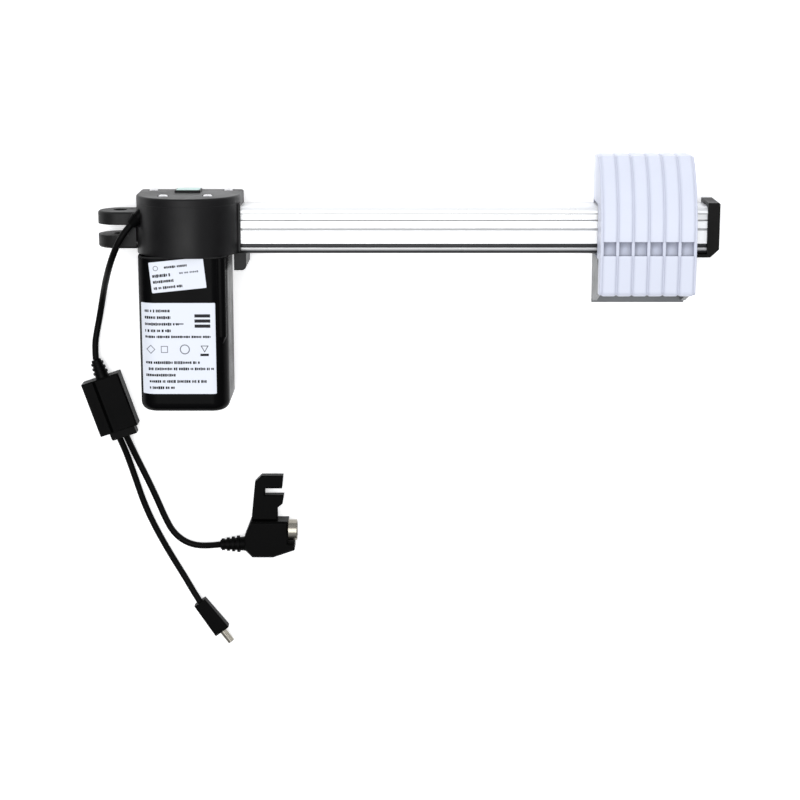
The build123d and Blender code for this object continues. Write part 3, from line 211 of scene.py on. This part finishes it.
DRAWN = (0.02, 1.0, 1.0)
materials = {
    "gearbox_plastic": surface(
        "gearbox_plastic", (0.005, 0.0048, 0.0053), 0.40, specular=0.16, grain_scale=1500,
        grain_height=0.00006, wear=0.25, wear_colour=(0.05, 0.05, 0.055),
    ),
    "case_plastic": surface(
        "case_plastic", (0.0020, 0.0020, 0.0022), 0.26, specular=0.03, grain_scale=900,
        grain_height=0.00002, wear=0.15, wear_colour=(0.04, 0.04, 0.04),
    ),
    "clevis_plastic": surface(
        "clevis_plastic", (0.006, 0.006, 0.006), 0.5, specular=0.2, grain_scale=1200,
        grain_height=0.0001, wear=0.35, wear_colour=(0.07, 0.07, 0.07),
    ),
    "rail_aluminium": surface(
        "rail_aluminium", (0.86, 0.865, 0.87), 0.3, metallic=0.25, specular=0.2, grain_scale=1800,
        grain_height=0.000003, grain_stretch=DRAWN, mottle=0.015, rough_spread=0.04,
        edge_radius=0.0003,
    ),
    "cap_plastic": surface(
        "cap_plastic", (0.004, 0.0038, 0.0035), 0.45, specular=0.09, grain_scale=1500,
        grain_height=0.00006, wear=0.3, wear_colour=(0.06, 0.06, 0.06),
    ),
    # painted shade in the slider's crevices and recesses, by ambient occlusion
    "slider_plastic": surface(
        "slider_plastic", (0.67, 0.70, 0.81), 0.42, specular=0.35, grain_scale=1100,
        grain_height=0.00003, mottle=0.03, edge_radius=0.0007, crevice_shade=0.35, crevice_reach=0.006,
    ),
    "bracket_steel": surface(
        "bracket_steel", (0.11, 0.115, 0.12), 0.42, metallic=0.85, grain_scale=900,
        grain_height=0.00003, mottle_scale=90, mottle=0.2, wear=0.3, wear_colour=(0.6, 0.6, 0.6),
    ),
    "label_paper": surface(
        "label_paper", (0.72, 0.75, 0.82), 0.45, specular=0.4, grain_scale=2600,
        grain_height=0.000008, mottle_scale=60, mottle=0.035,
    ),
    "sticker_paper": surface(
        "sticker_paper", (0.52, 0.72, 0.68), 0.40, specular=0.4, grain_scale=2600,
        grain_height=0.000008, mottle_scale=160, mottle=0.12,
    ),
    "screw_steel": surface(
        "screw_steel", (0.66, 0.66, 0.67), 0.28, metallic=1.0, grain_scale=3000,
        grain_height=0.00001, mottle=0.12, wear=0.3, wear_colour=(0.85, 0.85, 0.85),
    ),
    "bearing_steel": surface(
        "bearing_steel", (0.70, 0.70, 0.72), 0.2, metallic=1.0, grain_scale=4000,
        grain_height=0.000005, mottle=0.06,
    ),
    "spindle_steel": surface(
        "spindle_steel", (0.50, 0.50, 0.51), 0.3, metallic=1.0, grain_scale=2500,
        grain_height=0.00001, mottle=0.12, wear=0.3, wear_colour=(0.8, 0.8, 0.8),
    ),
    "can_steel": surface(
        "can_steel", (0.58, 0.58, 0.56), 0.34, metallic=1.0, grain_scale=1200,
        grain_height=0.00001, mottle=0.12,
    ),
    "magnet": surface(
        "magnet", (0.05, 0.05, 0.055), 0.7, grain_scale=1800, grain_height=0.0001,
        wear=0.4, wear_colour=(0.2, 0.2, 0.2),
    ),
    "core_steel": surface(
        "core_steel", (0.30, 0.30, 0.31), 0.45, metallic=1.0, grain_scale=1400,
        grain_height=0.00005, grain_stretch=(0.02, 1.0, 0.02), mottle=0.1,
    ),
    "copper": surface(
        "copper", (0.66, 0.30, 0.14), 0.3, metallic=0.9, grain_scale=1600,
        grain_height=0.0001, grain_stretch=(1.0, 0.05, 1.0), mottle=0.15,
    ),
    "brush_carbon": surface(
        "brush_carbon", (0.03, 0.03, 0.03), 0.75, grain_scale=2500, grain_height=0.00008,
    ),
    "bush_bronze": surface(
        "bush_bronze", (0.50, 0.34, 0.17), 0.42, metallic=0.95, grain_scale=2600,
        grain_height=0.00004, mottle=0.12,
    ),
    "worm_steel": surface(
        "worm_steel", (0.45, 0.45, 0.46), 0.25, metallic=1.0, grain_scale=2800,
        grain_height=0.00001, mottle=0.1, wear=0.4, wear_colour=(0.75, 0.75, 0.75),
    ),
    "gear_plastic": surface(
        "gear_plastic", (0.78, 0.73, 0.60), 0.45, grain_scale=1500, grain_height=0.00003,
        mottle=0.05,
    ),
    "nut_plastic": surface(
        "nut_plastic", (0.02, 0.022, 0.026), 0.45, grain_scale=1500, grain_height=0.00004,
        wear=0.3, wear_colour=(0.1, 0.1, 0.1),
    ),
    "pad_plastic": surface(
        "pad_plastic", (0.66, 0.66, 0.63), 0.5, grain_scale=1800, grain_height=0.00003,
        mottle=0.05,
    ),
    "board": surface(
        "board", (0.012, 0.09, 0.035), 0.35, grain_scale=1400, grain_height=0.00003,
        grain_stretch=(1.0, 0.3, 0.3), mottle_scale=220, mottle=0.3,
    ),
    "switch_plastic": surface(
        "switch_plastic", (0.015, 0.015, 0.015), 0.5, grain_scale=2000, grain_height=0.00004,
        wear=0.3, wear_colour=(0.07, 0.07, 0.07),
    ),
    "gasket_rubber": surface(
        "gasket_rubber", (0.012, 0.012, 0.012), 0.75, specular=0.25, grain_scale=2600,
        grain_height=0.00006,
    ),
    "cable_rubber": surface(
        "cable_rubber", (0.002, 0.002, 0.002), 0.42, specular=0.05, grain_scale=1800,
        grain_height=0.00004, mottle_scale=120, mottle=0.25,
    ),
    "connector_plastic": surface(
        "connector_plastic", (0.0015, 0.0015, 0.0015), 0.42, specular=0.035, grain_scale=1600,
        grain_height=0.00005, wear=0.3, wear_colour=(0.05, 0.05, 0.05),
    ),
    "contact_metal": surface(
        "contact_metal", (0.30, 0.28, 0.24), 0.25, metallic=1.0, grain_scale=3000,
        grain_height=0.000008, mottle=0.08,
    ),
    "ink": surface(
        "ink", (0.012, 0.012, 0.016), 0.55, specular=0.2, grain_scale=3200,
        grain_height=0.000006, mottle_scale=500, mottle=0.5,
    ),
    "ink_grey": surface(
        "ink_grey", (0.16, 0.17, 0.20), 0.55, specular=0.2, grain_scale=3200,
        grain_height=0.000006, mottle_scale=500, mottle=0.35,
    ),
}



def shade_by_place(mat, axis, low_mm, high_mm, stops, limits, dark):
    """Paint shade into a material's colour along one axis. A stop is a position in mm and a
    strength, and each limit is an axis with the height in mm above which the shade acts."""
    tree = mat.node_tree
    shader = tree.nodes["Principled BSDF"]
    before = shader.inputs["Base Color"].links[0].from_socket
    place = add_node(tree, "ShaderNodeTexCoord").outputs["Object"]
    split = add_node(tree, "ShaderNodeSeparateXYZ", {"Vector": place})
    along = add_node(
        tree,
        "ShaderNodeMapRange",
        {"Value": split.outputs[axis], "From Min": low_mm * MM, "From Max": high_mm * MM},
    )
    ramp = add_node(tree, "ShaderNodeValToRGB", {"Fac": along.outputs["Result"]})
    scale = ramp.color_ramp.elements
    while len(scale) > 1:
        scale.remove(scale[0])
    for index, (at, strength) in enumerate(stops):
        share = (at - low_mm) / (high_mm - low_mm)
        stop = scale[0] if index == 0 else scale.new(share)
        stop.position = share
        stop.color = (strength, strength, strength, 1.0)
    amount = ramp.outputs["Color"]
    for limit_axis, above_mm in limits:
        inside = add_node(
            tree,
            "ShaderNodeMapRange",
            {
                "Value": split.outputs[limit_axis],
                "From Min": (above_mm - 0.5) * MM,
                "From Max": (above_mm + 0.5) * MM,
            },
        )
        amount = add_node(
            tree,
            "ShaderNodeMath",
            {0: amount, 1: inside.outputs["Result"]},
            operation="MULTIPLY",
        ).outputs["Value"]
    mixed = add_node(tree, "ShaderNodeMix", {"Factor": amount}, data_type="RGBA")
    tree.links.new(before, mixed.inputs[6])
    mixed.inputs[7].default_value = tuple(dark) + (1.0,)
    tree.links.new(mixed.outputs[2], shader.inputs["Base Color"])


# painted shade in the rail's grooves: below the lowest groove, the V line, the wide groove's edges
RAIL_SHADE = [
    (21.0, 0.98), (23.4, 0.96), (23.9, 0.5), (25.5, 0.45), (25.9, 1.0), (28.5, 1.0),
    (28.9, 0.0), (38.2, 0.0), (38.7, 0.4), (39.7, 0.4), (40.2, 0.0), (45.1, 0.0),
    (45.4, 0.6), (46.0, 0.6), (46.4, 0.03), (50.2, 0.03), (50.4, 0.6), (51.0, 0.6),
    (51.4, 0.0), (56.0, 0.0),
]
shade_by_place(
    materials["rail_aluminium"], "Y", 21.0, 56.0, RAIL_SHADE, [("Z", 35.0)], (0.02, 0.02, 0.022)
)
# a thin shade along the far upper edge
shade_by_place(
    materials["rail_aluminium"], "Z", 6.0, 40.0,
    [(6.0, 0.6), (10.5, 0.6), (12.5, 0.0), (40.0, 0.0)], [("Y", 52.0)], (0.12, 0.12, 0.13),
)
# painted shade: the bands over the slider block's ribs are a little darker than its crowned panels
FIRST_RIB_MM = 141.15
RIB_STEP_MM = 11.283
RIB_COUNT = 7
RIB_SHADE = [(-2.6, 0.0), (-1.1, 0.22), (1.1, 0.22), (2.6, 0.0)]    # offset in mm, strength
rib_stops = []
for rib in range(RIB_COUNT):
    middle = FIRST_RIB_MM + RIB_STEP_MM * rib
    rib_stops += [(middle + offset, strength) for offset, strength in RIB_SHADE]
shade_by_place(
    materials["slider_plastic"], "X", 138.0, 212.0, rib_stops, [("Z", 20.0)], (0.36, 0.38, 0.50)
)

slot_of = {part["node"]: part["material_slot"] for part in frame["record"]["subparts"]}
for name, obj in nodes.items():
    obj.data.materials.clear()
    obj.data.materials.append(materials[slot_of[name]])


def finish_piece(obj, body, slot, replaced=(), material=None):
    """Give a new piece its material and its body, and hide the CAD nodes that it stands for."""
    obj.data.materials.append(materials[material or slot])
    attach(obj, body)
    if replaced:
        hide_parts(*replaced)
    return obj


# ---- cables -------------------------------------------------------------------------
CABLE_D_MM = 4.9
MAIN_ROUTE_MM = [
    (-202.4, 44.0, 46.0), (-207.9, 37.9, 47.2), (-212.9, 29.6, 46.9), (-217.2, 20.3, 43.8),
    (-221.2, 10.6, 36.6), (-225.0, 1.0, 26.0), (-228.5, -8.6, 14.6), (-231.4, -18.8, 6.4),
    (-234.0, -30.4, 2.9), (-236.6, -42.4, 2.7), (-238.6, -54.0, 4.6), (-237.6, -64.5, 7.5),
]
PLUG_ROUTE_MM = [
    (-221.3, -125.7, 7.5), (-217.4, -137.0, 4.3), (-214.0, -148.6, 2.7), (-209.7, -162.3, 2.5),
    (-205.2, -177.2, 2.5), (-198.9, -193.0, 2.5), (-191.0, -209.2, 2.5), (-182.2, -225.2, 2.5),
    (-173.4, -240.2, 2.9), (-168.0, -249.6, 4.4), (-162.5, -258.4, 5.6),
]
HANDSET_ROUTE_MM = [
    (-216.2, -124.0, 7.5), (-212.4, -134.6, 4.4), (-207.9, -145.6, 2.7), (-201.0, -160.6, 2.5),
    (-194.5, -175.6, 2.5), (-188.7, -190.4, 2.5), (-182.4, -203.0, 2.5), (-172.2, -211.4, 2.6),
    (-158.9, -213.8, 4.4), (-145.0, -211.0, 8.2),
]


def cable(name, route_mm, node):
    """A smooth cable through the route's points, in place of its CAD tube."""
    curve = bpy.data.curves.new(name, "CURVE")
    curve.dimensions = "3D"
    spline = curve.splines.new("NURBS")
    spline.points.add(len(route_mm) - 1)
    for point, place in zip(spline.points, route_mm):
        point.co = (place[0] * MM, place[1] * MM, place[2] * MM, 1.0)
    spline.order_u = 3
    spline.use_endpoint_u = True
    curve.resolution_u = 16
    curve.bevel_depth = CABLE_D_MM * MM / 2
    curve.bevel_resolution = 8
    obj = link(bpy.data.objects.new(name, curve))
    finish_piece(obj, "housing", "cable_rubber", [node])
    return obj


cable(
    "cable_to_splitter", MAIN_ROUTE_MM, "main_cable",
)
cable(
    "cable_to_plug", PLUG_ROUTE_MM, "plug_cable",
)
cable(
    "cable_to_handset", HANDSET_ROUTE_MM, "handset_cable",
)

# ---- print on the labels: plain bars and simple outlines -----------------------------
CASE_FRONT_MM = 66.25            # front of the labels
CASE_CORNERS_MM = (-184.4, -144.8)   # X of the centres of the case's round front corners
CASE_CORNER_Z_MM = 53.0
PRINT_GAP_MM = 0.04


def label_front(x):
    """Height of the print above a label at X, flat or round the case's corner."""
    radius = CASE_FRONT_MM - CASE_CORNER_Z_MM + PRINT_GAP_MM
    if CASE_CORNERS_MM[0] <= x <= CASE_CORNERS_MM[1]:
        return CASE_CORNER_Z_MM + radius
    centre = CASE_CORNERS_MM[0] if x < CASE_CORNERS_MM[0] else CASE_CORNERS_MM[1]
    return CASE_CORNER_Z_MM + math.sqrt(max(0.0, radius**2 - (x - centre) ** 2))


def printed(name, shapes, centre, turn, material):
    """Flat marks on a label. Each shape is a list of corners from the label's middle, in mm."""
    mesh = bmesh.new()
    spin = Matrix.Rotation(math.radians(turn), 2)
    for shape in shapes:
        corners = []
        for dx, dy in shape:
            moved = spin @ Vector((dx, dy))
            x, y = centre[0] + moved.x, centre[1] + moved.y
            corners.append(mesh.verts.new((x * MM, y * MM, label_front(x) * MM)))
        mesh.faces.new(corners)
    return finish_piece(mesh_object(name, mesh), "housing", None, material=material)


def bar(x, y, width, height):
    """A rectangle cut into short lengths, so that it can follow a round corner."""
    parts = max(1, round(width / 1.2))
    step = width / parts
    return [
        [
            (x + i * step, y - height / 2),
            (x + (i + 1) * step, y - height / 2),
            (x + (i + 1) * step, y + height / 2),
            (x + i * step, y + height / 2),
        ]
        for i in range(parts)
    ]


def text_row(chance, x, y, width, height):
    """A row of short bars with gaps, which reads as a line of small print."""
    shapes = []
    at = x
    while at < x + width - 0.6:
        length = min(chance.uniform(0.7, 1.5), x + width - at)
        tall = height * chance.uniform(0.7, 1.0)
        shapes += bar(at, y, length, tall)
        at += length + (1.1 if chance.random() < 0.16 else 0.28)
    return shapes


def outline(points, thickness, centre):
    """A closed outline through points round a centre, as quads."""
    shapes = []
    count = len(points)
    for i in range(count):
        start, end = Vector(points[i]), Vector(points[(i + 1) % count])
        parts = max(1, round((end - start).length / 0.8))
        for k in range(parts):
            a = start.lerp(end, k / parts)
            b = start.lerp(end, (k + 1) / parts)
            quad = (a, b, b * (1 - thickness), a * (1 - thickness))
            shapes.append([tuple(Vector(centre) + p) for p in quad])
    return shapes


def polygon(sides, radius, phase=0.0):
    return [
        (
            radius * math.cos(2 * math.pi * i / sides + phase),
            radius * math.sin(2 * math.pi * i / sides + phase),
        )
        for i in range(sides)
    ]


chance = random.Random(7)
RATING_CENTRE_MM = (-167.6, -44.9)
dark, grey = [], []
for row, (width, x) in enumerate([(19, -24.5), (19, -24.5), (25, -24.5), (19, -24.5)]):
    dark += text_row(chance, x, 28.0 - 4.9 * row, width, 2.3)
dark += text_row(chance, -24.5, 8.8, 48, 1.9)
grey += bar(-2, 18.4, 6, 1.0)
dark += bar(12.0, 20.6, 11.5, 2.4) + bar(12.0, 24.4, 11.5, 2.4) + bar(12.0, 16.8, 11.5, 2.4)
grey += outline(polygon(4, 3.4), 0.22, (-20.5, -0.5))
grey += outline(polygon(4, 3.6, math.pi / 4), 0.2, (-10.5, -0.5))
grey += outline(polygon(24, 3.7), 0.2, (4.5, -0.5))
dark += outline(polygon(3, 3.4, -math.pi / 2), 0.3, (19.0, 0.6)) + bar(15.8, -4.6, 6.2, 1.8)
for row, (width, x) in enumerate([(40, -24.5), (48, -22.5), (22, -24.5), (42, -22.0), (19, -22.0)]):
    dark += text_row(chance, x, -10.4 - 4.7 * row, width, 2.2)
printed("rating_print_dark", dark, RATING_CENTRE_MM, 0, "ink")
printed("rating_print_grey", grey, RATING_CENTRE_MM, 0, "ink_grey")

DATE_CENTRE_MM = (-167.3, 9.4)
dark, grey = [], []
dark += text_row(chance, -9, 6.6, 17, 1.9)
dark += text_row(chance, -18.3, 1.0, 13.5, 2.5)
grey += text_row(chance, 1.5, 1.4, 14.5, 1.5)
dark += text_row(chance, -18.3, -3.4, 15, 2.2)
dark += text_row(chance, -18.3, -8.0, 21, 2.1)
grey += outline(polygon(20, 1.9), 0.25, (-15.3, 6.6))
printed("date_print_dark", dark, DATE_CENTRE_MM, 6, "ink")
printed("date_print_grey", grey, DATE_CENTRE_MM, 6, "ink_grey")

# ---- screws with cross recesses -------------------------------------------------------
SPOKES = 48
# radii of the rings over a head, as shares of its own radius
RING_SHARES = [0.06 * i for i in range(1, 10)] + [0.62, 0.72, 0.82, 0.9, 0.96, 1.0]


def cross_screws(name, node, body, screws, slot):
    """Pan-head screws with a cross recess. Each is a seat, direction, head radius and height,
    shank radius and length, in mm."""
    mesh = bmesh.new()
    for number, (seat, direction, radius, height, shank_r, length) in enumerate(screws):
        turn = Vector(direction).to_track_quat("Z", "Y").to_matrix()
        spin = math.radians(17 + 61 * number)

        def place(share, angle, up):
            point = Vector((share * radius * math.cos(angle), share * radius * math.sin(angle), up))
            return (Vector(seat) + turn @ point) * MM

        def top(share, angle):
            up = height * (1.0 - 0.42 * share**4)
            across = abs(math.sin(2 * (angle - spin))) * share
            if share < 0.55 and across < 0.2:
                up -= height * 0.5 * (1 - (share / 0.55) ** 3) + height * 0.12
            return up

        centre = mesh.verts.new(place(0, 0, height * 0.38))
        angles = [2 * math.pi * i / SPOKES for i in range(SPOKES)]
        loops = [[mesh.verts.new(place(r, a, top(r, a))) for a in angles] for r in RING_SHARES]
        thin = shank_r / radius
        for share, up in ((1.0, 0), (thin, 0), (thin, 1 - length), (thin * 0.6, -length)):
            loops.append([mesh.verts.new(place(share, a, up)) for a in angles])
        for i in range(SPOKES):
            j = (i + 1) % SPOKES
            mesh.faces.new((centre, loops[0][i], loops[0][j]))
            for low, high in zip(loops, loops[1:]):
                mesh.faces.new((low[i], high[i], high[j], low[j]))
        mesh.faces.new(list(reversed(loops[-1])))
    return finish_piece(mesh_object(name, mesh, 35), body, slot, [node])


COVER_SEAT_MM = 63.4
COVER_SCREWS_MM = [(-178.5, 47.0), (-146.0, 46.0), (-190.0, 7.5), (-134.0, 7.5)]
CLAMP_SEAT_MM = (-123.8, 14.0)
CLAMP_SCREW_Z_MM = (12.5, 31.5)
CAP_SEAT_MM = (227.4, 35.0)
CAP_SCREW_Z_MM = (8.5, 35.5)
cross_screws(
    "cover_cross_screws", "gearbox_cover_screws", "housing",
    [((x, COVER_SEAT_MM, z), (0, 1, 0), 3.4, 2.6, 1.75, 20) for x, z in COVER_SCREWS_MM],
    "screw_steel",
)
cross_screws(
    "clamp_cross_screws", "rail_clamp_screws", "housing",
    [((*CLAMP_SEAT_MM, z), (0, -1, 0), 3.5, 2.4, 2.0, 11) for z in CLAMP_SCREW_Z_MM],
    "screw_steel",
)
cross_screws(
    "end_cap_cross_screws", "end_cap_screws", "housing",
    [((*CAP_SEAT_MM, z), (1, 0, 0), 3.0, 2.2, 1.4, 13) for z in CAP_SCREW_Z_MM],
    "screw_steel",
)

# ---- lead screw with its thread -------------------------------------------------------
THREAD_LEAD_MM = 4.0
THREAD_ROOT_MM = 4.2
THREAD_CREST_MM = 5.95
THREAD_START_MM, THREAD_END_MM = -129.0, 216.0
THREAD_STEP_MM = 0.5
SPINDLE_Y_MM, SPINDLE_Z_MM = 38.5, 22.0
THREAD_SIDES = 24


def thread_radius(x, turn, crest):
    """Radius of a right-hand trapezoidal thread at X and at a share of a turn."""
    phase = (x / THREAD_LEAD_MM - turn) % 1.0
    rise = min(1.0, max(0.0, (0.36 - abs(phase - 0.5)) / 0.12))
    return THREAD_ROOT_MM + (crest - THREAD_ROOT_MM) * rise


# each ring's X, its radius (the crest's, on the thread) and whether the thread is cut there
rows = [
    (-197.4, 3.6, False), (-196.8, 4.0, False), (-186.0, 4.0, False), (-186.0, 5.0, False),
    (THREAD_START_MM, 5.0, False),
]
steps = round((THREAD_END_MM - THREAD_START_MM) / THREAD_STEP_MM)
rows += [
    (THREAD_START_MM + THREAD_STEP_MM * i, THREAD_CREST_MM, True) for i in range(steps + 1)
]
rows += [(THREAD_END_MM, 4.0, False), (223.4, 4.0, False), (224.0, 3.6, False)]
thread = bmesh.new()
loops = []
for x, radius, threaded in rows:
    loop = []
    for i in range(THREAD_SIDES):
        turn = i / THREAD_SIDES
        r = thread_radius(x, turn, radius) if threaded else radius
        angle = 2 * math.pi * turn
        y, z = SPINDLE_Y_MM + r * math.cos(angle), SPINDLE_Z_MM + r * math.sin(angle)
        loop.append(thread.verts.new((x * MM, y * MM, z * MM)))
    loops.append(loop)
for low, high in zip(loops, loops[1:]):
    for i in range(THREAD_SIDES):
        j = (i + 1) % THREAD_SIDES
        thread.faces.new((low[i], low[j], high[j], high[i]))
thread.faces.new(list(reversed(loops[0])))
thread.faces.new(loops[-1])
bmesh.ops.recalc_face_normals(thread, faces=thread.faces)
finish_piece(
    mesh_object("threaded_spindle", thread, 30), "spindle", "spindle_steel", ["lead_screw"]
)

# ---- floor, lights and camera ----------------------------------------------------------
floor_mesh = bpy.data.meshes.new("floor")
floor_mesh.from_pydata(
    [(-4, -4, -0.0003), (4, -4, -0.0003), (4, 4, -0.0003), (-4, 4, -0.0003)], [], [(0, 1, 2, 3)]
)
floor = link(bpy.data.objects.new("floor", floor_mesh))
floor_material = surface(
    "floor_white", (0.93, 0.93, 0.93), 0.7, specular=0.1, grain_scale=300,
    grain_height=0.00001, mottle_scale=2.0, mottle=0.01,
)
floor_shader = floor_material.node_tree.nodes["Principled BSDF"]
floor_shader.inputs["Emission Color"].default_value = (1.0, 1.0, 1.0, 1.0)
floor_shader.inputs["Emission Strength"].default_value = 0.45
floor_mesh.materials.append(floor_material)

world = bpy.data.worlds.new("studio")
world.use_nodes = True
sky = world.node_tree
toward = add_node(sky, "ShaderNodeTexCoord").outputs["Generated"]
sides = add_node(sky, "ShaderNodeSeparateXYZ", {"Vector": toward})
height = add_node(
    sky,
    "ShaderNodeMapRange",
    {
        "Value": sides.outputs["Z"],
        "From Min": 0.35,
        "From Max": 0.8,
        "To Min": 0.10,
        "To Max": 0.70,
    },
)
upper = add_node(
    sky,
    "ShaderNodeMapRange",
    {"Value": sides.outputs["Y"], "From Min": 0.1, "From Max": 0.6, "To Min": 0.0, "To Max": 0.75},
)
glow = add_node(
    sky,
    "ShaderNodeMath",
    {0: height.outputs["Result"], 1: upper.outputs["Result"]},
    operation="MAXIMUM",
)
sky.nodes["Background"].inputs["Color"].default_value = (0.95, 0.97, 1.0, 1.0)
sky.links.new(glow.outputs["Value"], sky.nodes["Background"].inputs["Strength"])
scene.world = world


def softbox(name, place, target, width, height, power):
    """An area light that points from one place to another."""
    lamp = bpy.data.lights.new(name, "AREA")
    lamp.shape = "RECTANGLE"
    lamp.size = width
    lamp.size_y = height
    lamp.energy = power
    obj = link(bpy.data.objects.new(name, lamp))
    obj.location = place
    aim = Vector(target) - Vector(place)
    obj.rotation_euler = aim.to_track_quat("-Z", "Y").to_euler()
    return obj


softbox("overhead", (-0.32, 0.1, 1.9), (-0.05, 0.0, 0.0), 1.3, 1.6, 24)
softbox("fill_right", (1.6, 0.5, 1.3), (0.0, 0.0, 0.0), 0.8, 1.2, 5)

scene.view_settings.view_transform = "Standard"
scene.view_settings.look = "None"

camera_data = bpy.data.cameras.new("camera")
camera_data.lens = 90.0
camera_data.sensor_width = 36.0
camera_data.clip_start = 0.05
camera_data.clip_end = 20.0
camera = link(bpy.data.objects.new("camera", camera_data))
camera.location = (-0.0055, 0.2305, 1.5056)
camera.rotation_euler = (math.radians(-12.3), 0.0, 0.0)
scene.camera = camera

bpy.context.view_layer.update()
